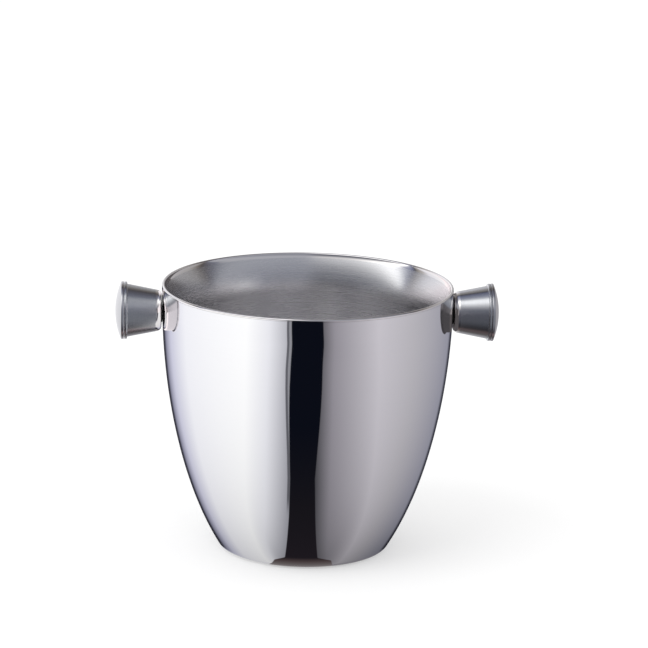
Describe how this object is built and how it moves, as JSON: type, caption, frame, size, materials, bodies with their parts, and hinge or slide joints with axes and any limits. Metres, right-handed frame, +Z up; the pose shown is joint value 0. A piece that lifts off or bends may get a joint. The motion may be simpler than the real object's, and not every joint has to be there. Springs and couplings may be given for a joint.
{
  "type": "ice bucket",
  "caption": "Double-walled polished steel ice bucket with a tulip-shaped body, a rolled rim and tapered side knobs.",
  "frame": {"origin": "on the table, under the centre of the bucket's base", "axes": "+Z up; +X and -X point out along the two knobs; -Y is the front"},
  "size_m": [0.1976, 0.15, 0.1399],
  "materials": {
    "mirror_steel": "mirror polished stainless steel",
    "satin_steel": "satin stainless steel",
    "brushed_steel": "fine turned brushing round the knob",
    "plated_steel": "zinc plated",
    "black_rubber": "matt black"
  },
  "bodies": {
    "root": {"outer_shell": "mirror_steel", "inner_liner": "satin_steel", "base_plate": "satin_steel", "base_pad": "black_rubber", "left_knob_cup": "brushed_steel", "left_knob_cap": "mirror_steel", "left_gasket": "black_rubber", "left_saddle_plate": "plated_steel", "left_stud": "plated_steel", "left_flat_washer": "plated_steel", "left_lock_washer": "plated_steel", "left_nut": "plated_steel", "right_knob_cup": "brushed_steel", "right_knob_cap": "mirror_steel", "right_gasket": "black_rubber", "right_saddle_plate": "plated_steel", "right_stud": "plated_steel", "right_flat_washer": "plated_steel", "right_lock_washer": "plated_steel", "right_nut": "plated_steel"}
  },
  "joints": []
}
